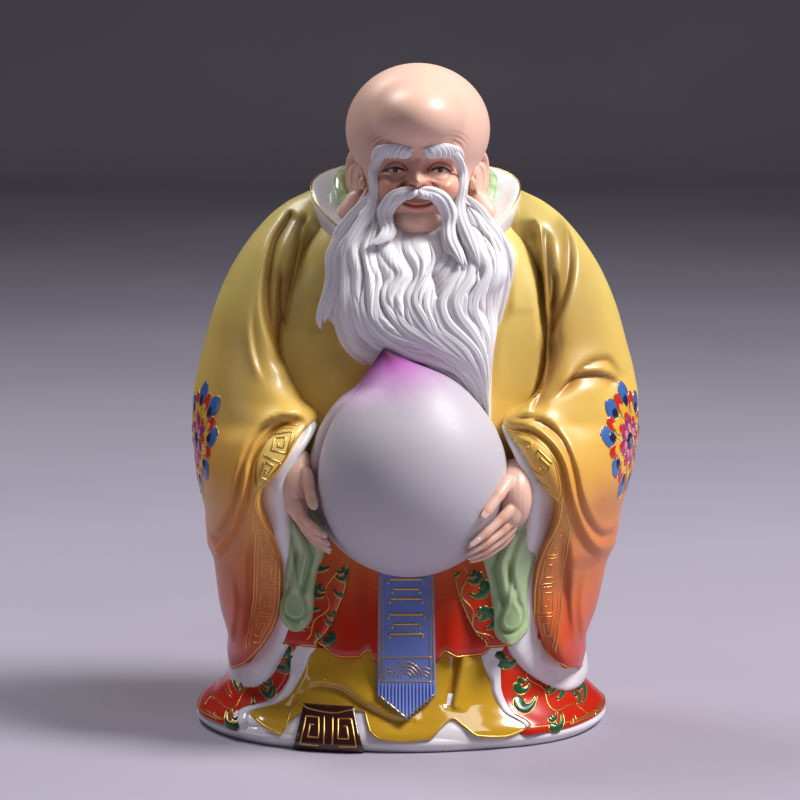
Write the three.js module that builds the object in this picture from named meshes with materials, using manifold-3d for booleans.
// A shou lao figure: the bald, long-bearded old man of long life in a wide-sleeved robe, holding a giant peach.
// It is one piece of cast porcelain, so the whole figure is one closed solid that stands on its flat underside.
// Millimetres, +Z up, the figure faces -Y, and the origin is at the middle of the underside.
import * as THREE from "three";
import { mergeVertices } from "three/addons/utils/BufferGeometryUtils.js";
import Module from "manifold-3d";

// Driving sizes. The pose, the proportions and the carving are shares of the figure's own height,
// written in parts of which the height has 315.
const HEIGHT = 315;
const PARTS_IN_HEIGHT = 315;
const PART = HEIGHT / PARTS_IN_HEIGHT;
const BASE_WIDTH = 201 * PART;
const BASE_DEPTH = 149 * PART;
const RIM_HEIGHT = 6 * PART;
const RIM_STEP = 1.2 * PART;
const PEACH_WIDTH = 91 * PART;
const PEACH_HEIGHT = 106 * PART;
const HEAD_WIDTH = 68 * PART;
const SASH_WIDTH = 27 * PART;
const CLOTH = 2.2 * PART; // how far one layer of the robe stands over the next

const wasm = await Module();
wasm.setup();

// Plain maths

const radians = THREE.MathUtils.degToRad;
const clamp = THREE.MathUtils.clamp;
const lerp = THREE.MathUtils.lerp;
const ease = (t) => THREE.MathUtils.smoothstep(t, 0, 1);
const bump = (distance, width) => Math.exp(-((distance / width) ** 2));

// The smooth curves through rows of [key, value, value, ...]: a function of the key that gives the values.
function profile(rows) {
  const keys = rows.map((row) => row[0]);
  const slopes = rows.map((row, i) => {
    const before = rows[Math.max(i - 1, 0)];
    const after = rows[Math.min(i + 1, rows.length - 1)];
    return row.slice(1).map((value, c) => {
      const left = (value - before[c + 1]) / (row[0] - before[0] || 1);
      const right = (after[c + 1] - value) / (after[0] - row[0] || 1);
      if (i === 0) return right;
      if (i === rows.length - 1) return left;
      return left * right > 0 ? (2 * left * right) / (left + right) : 0;
    });
  });
  return (key) => {
    let i = 0;
    while (i < rows.length - 2 && key > keys[i + 1]) i += 1;
    const span = keys[i + 1] - keys[i];
    const t = clamp((key - keys[i]) / span, 0, 1);
    return rows[i].slice(1).map((value, c) => {
      const end = rows[i + 1][c + 1];
      const a = 2 * t ** 3 - 3 * t ** 2 + 1;
      const b = t ** 3 - 2 * t ** 2 + t;
      const d = t ** 3 - t ** 2;
      return a * value + b * span * slopes[i][c] + (1 - a) * end + d * span * slopes[i + 1][c];
    });
  };
}

// The shortest way in the front view from (x, z) to a line of [x, z] points, and how far along it that is, 0 to 1.
function nearest(path, x, z) {
  let best = { distance: Infinity, along: 0 };
  for (let i = 0; i < path.length - 1; i += 1) {
    const [ax, az] = path[i];
    const [bx, bz] = path[i + 1];
    const length = (bx - ax) ** 2 + (bz - az) ** 2;
    const t = clamp(((x - ax) * (bx - ax) + (z - az) * (bz - az)) / length, 0, 1);
    const distance = Math.hypot(x - lerp(ax, bx, t), z - lerp(az, bz, t));
    if (distance < best.distance) best = { distance, along: (i + t) / (path.length - 1) };
  }
  return best;
}

// Making closed solids

// A manifold solid from a closed three.js geometry.
function solid(geometry) {
  const bare = new THREE.BufferGeometry();
  bare.setAttribute("position", geometry.getAttribute("position"));
  bare.setIndex(geometry.getIndex());
  const merged = mergeVertices(bare, 1e-4 * HEIGHT);
  const index = merged.getIndex().array;
  const faces = [];
  for (let i = 0; i < index.length; i += 3) {
    const [a, b, c] = index.slice(i, i + 3);
    if (a !== b && b !== c && c !== a) faces.push(a, b, c);
  }
  const make = (order) =>
    new wasm.Manifold(
      new wasm.Mesh({
        numProp: 3,
        vertProperties: merged.getAttribute("position").array,
        triVerts: new Uint32Array(order),
      }),
    );
  const made = make(faces);
  return made.volume() > 0 ? made : make(faces.reverse());
}

const join = (solids) => solids.reduce((whole, piece) => whole.add(piece));

// Moves every point of a geometry to place(point, uv).
function shaped(geometry, place) {
  const position = geometry.getAttribute("position");
  const uv = geometry.getAttribute("uv");
  const point = new THREE.Vector3();
  for (let i = 0; i < position.count; i += 1) {
    point.fromBufferAttribute(position, i);
    const [x, y, z] = place(point, uv.getX(i), uv.getY(i));
    position.setXYZ(i, x * PART, y * PART, z * PART);
  }
  return solid(geometry);
}

// A closed skin of rings: ring(t, angle) gives a point, with t from 0 at the bottom ring to 1 at the top one.
// Both ends are closed flat at the middle of their ring.
function rings(slices, count, ring) {
  const middle = (t) => {
    const sum = [0, 0, 0];
    for (let i = 0; i < slices; i += 1) {
      const p = ring(t, (i / slices) * 2 * Math.PI);
      p.forEach((value, c) => (sum[c] += value / slices));
    }
    return sum;
  };
  const geometry = new THREE.SphereGeometry(1, slices, count + 1);
  return shaped(geometry, (point, u, v) => {
    const row = Math.round(v * (count + 1));
    if (row === 0) return middle(0);
    if (row === count + 1) return middle(1);
    const column = Math.round(u * slices) % slices;
    return ring((row - 1) / (count - 1), (column / slices) * 2 * Math.PI);
  });
}

// A closed pad with two broad faces: place(u, v, w) with u and v from 0 to 1 over them and w 1 on the front, 0 behind.
function pad(across, up, place) {
  const geometry = new THREE.BoxGeometry(1, 1, 1, across, up, 1);
  return shaped(geometry, (point) => place(point.x + 0.5, point.y + 0.5, point.z + 0.5));
}

// A closed round bar along a smooth line through rows of [x, y, z, half width, half depth].
function limb(rows, slices, count) {
  const line = new THREE.CatmullRomCurve3(rows.map((row) => new THREE.Vector3(...row.slice(0, 3))));
  const size = profile(rows.map((row, i) => [i / (rows.length - 1), row[3], row[4] ?? row[3]]));
  const side = new THREE.Vector3();
  const depth = new THREE.Vector3();
  return rings(slices, count, (t, angle) => {
    const s = (1 - Math.cos(Math.PI * t)) / 2;
    const centre = line.getPoint(s);
    const ahead = line.getTangent(clamp(s, 0.001, 0.999));
    const [width, thick] = size(s);
    const end = Math.sin(Math.PI * clamp(t, 0.06, 0.94)) ** 0.5;
    side.set(ahead.z, 0, -ahead.x).normalize();
    depth.crossVectors(ahead, side).normalize();
    centre.addScaledVector(side, width * end * Math.cos(angle));
    centre.addScaledVector(depth, thick * end * Math.sin(angle));
    return centre.toArray();
  });
}

// The robe and its skirt

// How the robe stands: height, middle in x, half width, reach to the front and to the back of the axis.
const AXIS_Y = -5;
const ROBE_ROUND = 2.25;
const robeForm = profile([
  [0, -3, 97, 76, 69],
  [4, -3, 100, 78, 71],
  [8, -3, 98, 77, 70],
  [14, -2, 91, 73, 67],
  [22, -2, 84, 68, 63],
  [34, -1, 82, 63, 58],
  [52, 0, 84, 60, 55],
  [76, 1, 86, 56, 53],
  [104, 2, 88, 50, 53],
  [132, 3, 88, 45, 54],
  [158, 4, 83, 40, 54],
  [182, 4, 75, 36, 53],
  [204, 4, 65, 32, 50],
  [222, 4, 56, 28, 46],
  [236, 4, 47, 23, 41],
  [247, 4, 38, 18, 35],
  [256, 5, 30, 12, 28],
  [262, 5, 22, 10, 23],
]);
const widthShare = BASE_WIDTH / (201 * PART);
const depthShare = BASE_DEPTH / (149 * PART);

// The robe's radius at an angle from the front, 90 degrees being its own left, the viewer's right.
function robeRadius(z, angle) {
  const [, half, front, back] = robeForm(z);
  const reach = Math.cos(angle) > 0 ? front : back;
  const foot = 1 - ease(z / 60);
  const wide = half * lerp(1, widthShare, foot);
  const deep = reach * lerp(1, depthShare, foot);
  const a = Math.abs(Math.sin(angle) / wide) ** ROBE_ROUND;
  const b = Math.abs(Math.cos(angle) / deep) ** ROBE_ROUND;
  return (a + b) ** (-1 / ROBE_ROUND);
}

// Where the robe's front face lies at x, for the layers that hang over it.
function frontY(x, z) {
  const [middle, half, front] = robeForm(z);
  const across = clamp(Math.abs(x - middle) / half, 0, 0.999);
  return AXIS_Y - front * (1 - across ** ROBE_ROUND) ** (1 / ROBE_ROUND);
}

// Folds that run down the back and sides, deeper towards the hem.
function robeFolds(z, angle) {
  const back = (1 - Math.cos(angle)) / 2;
  const low = 1 - ease((z - 10) / 150);
  const wander = 0.25 * Math.sin(z / 26);
  const side = Math.abs(Math.sin(angle)) ** 3;
  return (1 - 0.6 * side) * back * (0.8 + 2.6 * low) * Math.sin(9 * angle + wander);
}

// The opening at the front, where the robe's two edges stand over the skirt: its half width at a height.
const opening = profile([
  [0, 58],
  [8, 57],
  [14, 51],
  [24, 47],
  [34, 48],
  [44, 45],
  [48, 33],
  [56, 29],
  [68, 26],
  [90, 24],
]);
const ROBE_COLUMNS = 33;
const OPENING_COLUMNS = 6;

function robe() {
  const levels = profile([
    [0, 0], [1, 6], [2, 6.4], [3, 11], [4, 18], [5, 30], [6, 48], [7, 72], [8, 100], [9, 128], [10, 156], [11, 182],
    [12, 206], [13, 226], [14, 242], [15, 254], [16, 262],
  ]);
  const top = 16;
  const columns = ROBE_COLUMNS + OPENING_COLUMNS;
  return rings(columns, top + 1, (t, turn) => {
    const z = levels(t * top)[0];
    const column = Math.round((turn / (2 * Math.PI)) * columns);
    const rim = z < RIM_HEIGHT / PART + 0.2;
    const open = z < 95 ? opening(z)[0] : 24;
    const edge = Math.atan2(open, -(AXIS_Y + frontY(open, z)) - 2 * -AXIS_Y);
    const inside = column >= ROBE_COLUMNS;
    const share = inside ? (column - ROBE_COLUMNS + 0.5) / OPENING_COLUMNS : column / (ROBE_COLUMNS - 1);
    const angle = inside ? lerp(-edge, edge, share) : lerp(edge, 2 * Math.PI - edge, share);
    const sunk = inside && !rim && z < 95 ? CLOTH / PART : 0;
    const step = rim ? RIM_STEP / PART : 0;
    const r = robeRadius(z, angle) + (rim ? 0.4 : 1) * robeFolds(z, angle) - sunk - step;
    return [robeForm(z)[0] + r * Math.sin(angle), AXIS_Y - r * Math.cos(angle), z];
  });
}

// The yellow skirt: its hem rises over the shoe and in one fold beside the sash.
const skirtHem = profile([
  [-60, 7], [-56, 9], [-53, 18], [-50, 19], [-44, 16.5], [-34, 16], [-25, 17.5], [-20, 17], [-17, 9], [-12, 6],
  [-3, 5], [10, 6], [16, 11], [21, 14], [26, 11], [33, 6.5], [45, 5.5], [56, 8],
]);
const shoeArch = [[-46, 26], [-35, 29], [-23, 25], [-15, 19], [-4, 16]];
const skirtCrease = [[24, 42], [22, 30], [19, 15]];

function skirt() {
  return pad(24, 6, (u, v, w) => {
    const x = lerp(-57, 54, u);
    const z = lerp(skirtHem(x)[0], 54, v ** 1.2);
    const flare = 0.8 * bump(z - 4, 15);
    const arch = nearest(shoeArch, x, z);
    const crease = nearest(skirtCrease, x, z);
    const carving = 1.6 * bump(arch.distance - 3, 5) - 2.2 * bump(crease.distance, 3.2);
    const front = frontY(x, z) + (CLOTH / PART) * 0.6 - flare - carving;
    return [x, w ? front : frontY(x, z) + 12, z];
  });
}

// The orange skirt over it, from the hem at the sash up to behind the peach.
const overHem = profile([
  [-46, 49], [-42, 47], [-31, 41], [-23, 41], [-18, 44.5], [-15, 40], [0, 40], [14, 40], [17, 44], [24, 41],
  [34, 42], [40, 46],
]);

function overskirt() {
  return pad(18, 3, (u, v, w) => {
    const x = lerp(-44, 38, u);
    const z = lerp(overHem(x)[0], 98, v);
    const pleats = 1.3 * Math.sin(x / 2.6) * (1 - v) * 0.6;
    return [x, w ? frontY(x, z) - (CLOTH / PART) * 0.9 - pleats : frontY(x, z) + 12, z];
  });
}

// The robe's front edges, one at each side, standing over the skirts. side is -1 at the viewer's left.
const edgeLine = profile([
  [40, 36], [43, 34], [47, 40], [53, 35], [63, 30], [74, 26], [90, 24],
]);

function frontEdge(side) {
  return pad(3, 5, (u, v, w) => {
    const z = lerp(45, 98, v);
    const inner = side * edgeLine(z)[0] + (side < 0 ? -2 : -4);
    const x = lerp(inner, side * 62, u);
    const round = Math.min(1, u * 8 + 0.4);
    return [x, w ? frontY(x, z) - (CLOTH / PART) * 1.9 * round : frontY(x, z) + 10, z];
  });
}

// The blue sash at the middle, with its pointed end.
function sash() {
  const half = SASH_WIDTH / PART / 2;
  const tip = 12;
  return pad(6, 6, (u, v, w) => {
    const across = 2 * u - 1;
    const x = -0.5 + across * half * lerp(1.02, 0.94, v);
    const low = tip + 13 * Math.abs(across);
    const z = lerp(low, 96, v);
    const fringe = v < 0.2 ? 0.5 * Math.cos(across * 9 * Math.PI) : 0;
    const flare = 1.2 * bump(z - 12, 14);
    const front = frontY(x, z) - (CLOTH / PART) * 1.4 - flare - fringe;
    return [x, w ? front : frontY(x, z) + 8, z];
  });
}

// The dark shoe that shows under the skirt's arch, with rows of shallow raised strokes.
function shoe() {
  const body = pad(4, 3, (u, v, w) => {
    const x = lerp(lerp(-53, -48, v), lerp(-20, -25, v), u);
    const z = lerp(0, 20, v);
    return [x, w ? frontY(x, z) - 1.4 * (1 - v) : frontY(x, z) + 12, z];
  });
  const strokes = [-46, -42, -32, -28].map((middle) =>
    pad(1, 2, (u, v, w) => {
      const x = middle + (u - 0.5) * 1.2;
      const z = lerp(5, 14, v);
      return [x, w ? frontY(x, z) - 1.9 : frontY(x, z) + 2, z];
    }),
  );
  return join([body, ...strokes]);
}

// The sleeves

// A sleeve from its hanging end up to the shoulder: height, middle x and y, reach to the front and to the back,
// half thickness, and how far its front turns in towards the peach, in degrees.
const sleeveForm = profile([
  [22, 76, -12, 10, 9, 5, 0],
  [27, 74.5, -14, 24, 18, 9, 3],
  [35, 74, -16, 32, 26, 11.5, 3],
  [44, 72, -17, 38, 31, 14, 4],
  [56, 73, -17, 43, 34, 17, 12],
  [70, 74, -17, 44, 35, 18.5, 19],
  [79, 75, -18, 45, 36, 19, 20],
  [88, 77, -18, 46, 36, 20.5, 18],
  [96, 77, -18, 46, 37, 21.5, 14],
  [103, 76, -18, 48, 38, 23, 11],
  [116, 76.5, -19, 51, 38, 25.5, 10],
  [128, 77, -19, 53, 38, 27, 15],
  [140, 79, -18, 54, 38, 26.5, 26],
  [150, 79.5, -16, 53, 38, 26, 36],
  [158, 79, -13, 49, 38, 26.5, 33],
  [168, 78, -9, 42, 38, 26, 20],
  [182, 75, -6, 37, 36, 25.5, 10],
  [198, 71, -4, 33, 34, 25, 4],
  [214, 66, -1, 30, 31, 23.5, 0],
  [228, 60.5, 1, 26, 27, 20.5, 0],
  [240, 54, 3, 19, 20, 17, 0],
  [248, 49, 4, 11, 12, 12, 0],
  [253, 45, 4, 5, 6, 6, 0],
]);
const armCrease = [[61, 241], [67, 228], [70, 211], [68, 194], [65, 182], [60, 168], [52, 158]];
const innerCrease = [[66, 200], [63, 190], [62, 178]];
const swag = [[56, 151], [66, 145], [73, 134], [77, 122], [82, 110], [88, 98], [94, 91]];
const hangCrease = [[74, 96], [76, 78], [77, 60], [80, 42]];
const backFolds = [
  [[52, 240], [66, 214], [76, 188], [88, 164]],
  [[58, 200], [66, 172], [80, 146], [94, 128]],
  [[66, 128], [70, 98], [70, 66], [74, 40]],
  [[86, 116], [85, 88], [82, 60], [83, 40]],
];

// How far the sleeve's carving stands out at a point of its surface, seen from the front or from the back.
function sleeveCarving(x, z, facing) {
  if (facing > 0.1) {
    const arm = nearest(armCrease, x, z);
    const inner = nearest(innerCrease, x, z);
    const fall = nearest(swag, x, z);
    const hang = nearest(hangCrease, x, z);
    const ends = (n) => ease(n.along * 8) * ease((1 - n.along) * 6);
    const roll = 3.6 * bump(fall.distance - 7, 5.5) - 3.6 * bump(fall.distance, 4);
    return (
      facing *
      (roll * ends(fall) +
        (2.2 * bump(arm.distance - 7, 5) - 3.8 * bump(arm.distance, 4)) * ends(arm) -
        1.6 * bump(inner.distance, 2.5) * ends(inner) -
        1.8 * bump(hang.distance, 4) * ends(hang))
    );
  }
  return backFolds.reduce((sum, path) => {
    const fold = nearest(path, x, z);
    return sum + Math.min(-facing + 0.2, 1) * (1.5 * bump(fold.distance - 7, 4.5) - 2.4 * bump(fold.distance, 3.6));
  }, 0);
}

// Only the front half of a sleeve turns in; the back half hangs straight.
function sleevePoint(side, z, angle, form, carve) {
  const [cx, cy, front, back, half, turnIn] = form(z);
  const c = Math.cos(angle);
  const q = Math.sin(angle);
  const turned = radians(turnIn) * ease((q + 0.35) / 0.8);
  const lengthwise = (q > 0 ? front : back) * Math.sign(q) * Math.abs(q) ** 0.95;
  const across = half * Math.sign(c) * Math.abs(c) ** 0.85 * (1 - 0.35 * Math.max(q, 0) ** 3);
  let x = cx + across * Math.cos(turned) - lengthwise * Math.sin(turned);
  let y = cy - across * Math.sin(turned) - lengthwise * Math.cos(turned);
  const outward = new THREE.Vector2(c / half, q / (q > 0 ? front : back)).normalize();
  const nx = outward.x * Math.cos(turned) - outward.y * Math.sin(turned);
  const ny = -outward.x * Math.sin(turned) - outward.y * Math.cos(turned);
  const depth = carve ? sleeveCarving(x, z, -ny * 1.2) : 0;
  x += nx * depth;
  y += ny * depth;
  const lean = ease((y + 66) / 50);
  return [side * x + lean * (5 * ease(z / 150) - 1), y, z];
}

function sleeve(side) {
  const levels = profile([
    [0, 22], [1, 25], [2, 33], [3, 46], [4, 62], [5, 78], [6, 92], [7, 102], [8, 114], [9, 126],
    [10, 138], [11, 149], [12, 160], [13, 173], [14, 189], [15, 206], [16, 222], [17, 236], [18, 246], [19, 253],
  ]);
  return rings(26, 20, (t, turn) => {
    const angle = turn - 0.5 * Math.sin(turn - radians(65));
    return sleevePoint(side, levels(t * 19)[0], angle, sleeveForm, true);
  });
}

// The white lining, which shows past the cuff's edge and as a tongue at the sleeve's end.
const liningForm = profile([
  [19, 78, -14, 14, 9, 5, 4],
  [22, 77, -15, 26, 12, 8, 6],
  [28, 74, -16, 34, 16, 10, 11],
  [36, 70.5, -17, 38, 18, 11, 14],
  [46, 68, -18, 41, 20, 12, 18],
  [60, 68, -18, 42, 20, 12, 19],
  [80, 70, -18, 44, 20, 12, 22],
  [100, 71, -18, 47, 20, 13, 18],
  [120, 72, -19, 51, 20, 14, 16],
  [136, 74, -18, 52, 20, 15, 26],
  [148, 76, -15, 50, 20, 15, 39],
  [152, 76, -13, 46, 20, 12, 40],
]);

function lining(side) {
  return rings(12, 8, (t, angle) => sleevePoint(side, lerp(19, 152, t ** 1.15), angle, liningForm, false));
}

// The green inner sleeve that hangs under the wrist in flutes, with a rounded end.
function innerSleeve(side) {
  const form = profile(
    side < 0
      ? [[54, 52, 4], [58, 52, 7], [66, 50, 8.5], [80, 49, 8.5], [96, 49, 8.5], [112, 50, 7]]
      : [[47, 48, 4], [52, 48, 7.5], [62, 47, 8.5], [76, 46, 11], [92, 45, 13.5], [108, 47, 12]],
  );
  const low = side < 0 ? 54 : 47;
  return rings(15, 6, (t, angle) => {
    const z = lerp(low, 108, t);
    const [middle, half] = form(z);
    const flute = 1 + 0.16 * Math.cos(3 * angle + 1.5);
    return [side * middle + half * Math.cos(angle), -54 - 9.5 * Math.sin(angle) * flute + 3 * t, z];
  });
}

// The hands

// Fingers and thumb on one side: rows of [x, y, z, half width] from the knuckle to the tip.
const fingers = [
  [[50, -76, 113, 4.6], [44, -80, 106, 4.2], [36, -81, 101, 3.7], [27, -77, 95.5, 2.7]],
  [[51, -73, 109, 4.6], [45, -77, 101.5, 4.2], [37, -79, 96.5, 3.7], [26.5, -74, 91, 2.6]],
  [[52, -70, 105, 4.4], [46, -73, 98, 4], [38, -75, 92.5, 3.5], [28, -70, 87.5, 2.5]],
  [[52, -66, 101, 4], [47, -69, 95, 3.6], [40, -70, 90, 3.1], [32, -66, 86, 2.3]],
];
const thumb = [[46, -72, 127, 5], [43, -80, 120, 4.6], [39, -85, 115, 4], [34, -85, 110.5, 3.2]];
const palm = [[49, -58, 134, 7, 6], [50, -66, 127, 8.5, 8], [49.5, -68, 117, 8.5, 9], [48, -70, 107, 7, 7]];

function hand(side) {
  const shift = side < 0 ? 2 : 0;
  const lift = side < 0 ? 3 : 0;
  const place = (rows) => rows.map(([x, y, z, ...rest]) => [side * (x + shift), y, z + lift, ...rest]);
  return join([
    limb(place(palm), 9, 6),
    limb(place(thumb), 6, 6),
    ...fingers.map((finger) => limb(place(finger), 5, 6)),
  ]);
}

// The peach

const PEACH = { x: 1, y: -57, z: 124 };
const peachTip = radians(-10);

function peach() {
  const half = PEACH_WIDTH / PART / 2;
  const rise = (PEACH_HEIGHT / PART - half) / half;
  return rings(26, 16, (t, angle) => {
    const polar = Math.PI * (1 - lerp(0.012, 0.988, t));
    const point = rise - 1;
    const tip = point * Math.exp(-((polar / 0.4) ** 0.95));
    const seam = Math.abs(Math.atan2(Math.sin(angle - Math.PI * 1.03), Math.cos(angle - Math.PI * 1.03)));
    const cleft = 0.07 * bump(seam, 0.2) * Math.sin(polar) * (polar < 2 ? 1 : 0.4);
    const lobe = 0.05 * bump(Math.atan2(Math.sin(angle - 2.6), Math.cos(angle - 2.6)), 0.55) * Math.sin(polar);
    const r = half * (1 + tip - cleft + lobe);
    const x = r * Math.sin(polar) * Math.cos(angle);
    const z = r * Math.cos(polar);
    return [
      PEACH.x + x * Math.cos(peachTip) + z * Math.sin(peachTip),
      PEACH.y + 0.9 * r * Math.sin(polar) * Math.sin(angle),
      PEACH.z - x * Math.sin(peachTip) + z * Math.cos(peachTip),
    ];
  });
}

// The head

// Round forms that flow together into the head: middle [x, y, z] and half sizes.
const HEAD_CENTRE = [5, -14, 280];
const headForms = [
  { at: [5, -8, 283], size: [34, 36, 31] },
  { at: [5, -29, 290], size: [26, 25, 22] },
  { at: [5, -13, 261], size: [29, 29, 24] },
  { at: [-5, -33, 257], size: [12, 10, 10] },
  { at: [15, -33, 257], size: [12, 10, 10] },
];

// How far a ray from the head's centre runs before it leaves a round form.
function exit(form, direction) {
  const scale = HEAD_WIDTH / PART / 68;
  let a = 0;
  let b = 0;
  let c = -1;
  direction.forEach((d, i) => {
    const size = form.size[i] * scale;
    const from = (HEAD_CENTRE[i] - form.at[i]) * scale;
    a += (d / size) ** 2;
    b += (2 * d * from) / size ** 2;
    c += (from / size) ** 2;
  });
  const root = b * b - 4 * a * c;
  return root > 0 ? Math.max((-b + Math.sqrt(root)) / (2 * a), 0) : 0;
}

function skull() {
  return rings(24, 15, (t, angle) => {
    const polar = Math.PI * (1 - lerp(0.02, 0.98, t));
    const direction = [Math.sin(polar) * Math.cos(angle), Math.sin(polar) * Math.sin(angle), Math.cos(polar)];
    const blend = 8;
    const r = headForms.reduce((sum, form) => sum + exit(form, direction) ** blend, 0) ** (1 / blend);
    return direction.map((d, i) => HEAD_CENTRE[i] + r * d);
  });
}

function ears() {
  return [-1, 1].map((side) =>
    limb(
      [[5 + side * 28, -11, 272, 2.5, 5], [5 + side * 30, -13, 265, 3.4, 8], [5 + side * 30.5, -15, 255, 3.6, 6.5],
        [5 + side * 33, -16, 246, 4.6, 5.5], [5 + side * 34, -16, 239, 3.6, 4.5]],
      8, 7,
    ),
  );
}

function face() {
  const brows = [-1, 1].map((side) =>
    limb(
      [[5 + side * 2, -46, 272.5, 2.2, 2.4], [5 + side * 9, -47, 276, 3.4, 3.4], [5 + side * 17, -43, 273, 3, 3.4],
        [5 + side * 20.5, -39, 264, 2.4, 3], [5 + side * 20.5, -37, 252, 2.3, 3], [5 + side * 23, -36, 242, 2.4, 3]],
      6, 9,
    ),
  );
  const nose = limb([[5, -40, 270, 2, 2], [5, -45, 264, 3, 4], [5, -48, 258.5, 4.6, 4.6], [5, -42, 255, 3.4, 3]], 6, 6);
  const lip = limb([[-2, -36, 249, 2, 1.5], [5, -41, 248, 3, 3], [12, -36, 249, 2, 1.5]], 6, 4);
  const moustache = [-1, 1].map((side) =>
    limb(
      [[5 + side * 1, -47, 254, 2.6, 2.6], [5 + side * 8, -47, 251, 3, 3], [5 + side * 13, -46, 243, 3, 3.4],
        [5 + side * 15, -47, 233, 3, 3.4], [5 + side * 20, -48, 222, 2.4, 3]],
      6, 8,
    ),
  );
  return [...brows, nose, lip, ...moustache];
}

// The beard

// Its two outer edges from the ears down to the tip, which sweeps to the viewer's right behind the peach:
// share of the length, left x and z, right x and z.
const beardEdges = profile([
  [0, -19, 254, 29, 254],
  [0.1, -29, 242, 37, 241],
  [0.2, -36, 229, 43, 230],
  [0.3, -39, 216, 46, 219],
  [0.42, -38, 201, 45, 206],
  [0.54, -33, 187, 42, 193],
  [0.66, -23, 175, 40, 181],
  [0.78, -4, 168, 39.5, 168],
  [0.9, 20, 158, 39, 153],
  [1, 36, 142, 38, 141],
]);
const beardFront = profile([
  [0, -35], [0.12, -46], [0.3, -54], [0.5, -58], [0.7, -57], [0.85, -52], [1, -44],
]);
const LOCKS = 7;

function beard() {
  return pad(27, 10, (u, v, w) => {
    const along = 1 - v;
    const [lx, lz, rx, rz] = beardEdges(along);
    const x = lerp(lx, rx, u);
    const across = 2 * u - 1;
    const z = lerp(lz, rz, u) - 5 * (1 - along) * (1 - across ** 2);
    const wave = 0.09 * Math.sin(9 * along + 4 * u) * ease(along * 3);
    const lock = Math.abs(Math.sin(Math.PI * LOCKS * (u + wave)));
    const curve = (1 - Math.abs(across) ** 2.6) ** 0.5;
    const front = beardFront(along)[0] - 3.2 * lock * curve;
    return [x, w ? lerp(-30, front, curve) : -22, z];
  });
}

// The side lock that curls away from the beard at the viewer's left.
const sideLock = () =>
  limb([[-27, -36, 238, 3, 3], [-34, -40, 224, 3.6, 5], [-37, -40, 209, 3.2, 5], [-40, -40, 199, 2.2, 3], [-39.5, -39, 191, 0.8, 1]], 6, 7);

// The collars

// The white collar is a wide dish that opens to the front; the green one lies inside it.
const collarRim = (angle) => {
  const back = (1 - Math.cos(angle)) / 2;
  const broad = Math.abs(Math.sin(angle));
  return { z: lerp(226, 267, back ** 0.66) - 3 * broad * back, wide: 44 + 6 * broad, front: 36, back: 29 };
};

function collar(inset, lift, steps) {
  return rings(20, steps.length, (t, angle) => {
    const [reach, drop] = steps[Math.round(t * (steps.length - 1))];
    const rim = collarRim(angle);
    const deep = Math.cos(angle) > 0 ? rim.front : rim.back;
    const r = Math.hypot((rim.wide - inset) * Math.sin(angle), (deep - inset) * Math.cos(angle)) * reach;
    return [4 + r * Math.sin(angle), -2 - r * Math.cos(angle), rim.z + lift - drop];
  });
}

const whiteCollar = () => collar(0, 0, [[0.76, 26], [0.95, 12], [1, 2], [0.97, 0], [0.84, 1.5], [0.66, 8]]);
const greenCollar = () => collar(9, -2, [[0.6, 20], [0.94, 8], [1, -1], [0.93, -3], [0.78, 2], [0.6, 12]]);

// The whole figure, joined into one solid

const pieces = [
  robe(), skirt(), overskirt(), frontEdge(-1), frontEdge(1), sash(), shoe(),
  sleeve(-1), sleeve(1), lining(-1), lining(1), innerSleeve(-1), innerSleeve(1),
  hand(-1), hand(1), peach(), skull(), ...ears(), ...face(), beard(), sideLock(), whiteCollar(), greenCollar(),
];
const joined = join(pieces).getMesh();

const geometry = new THREE.BufferGeometry();
geometry.setAttribute("position", new THREE.BufferAttribute(joined.vertProperties, joined.numProp));
geometry.setIndex(new THREE.BufferAttribute(joined.triVerts, 1));
geometry.computeVertexNormals();

const porcelain = new THREE.MeshStandardMaterial({ color: 0xd9bb55, roughness: 0.3, metalness: 0 });
const figure = new THREE.Mesh(geometry, porcelain);
figure.name = "figure";

const group = new THREE.Group();
group.add(figure);
export default group;
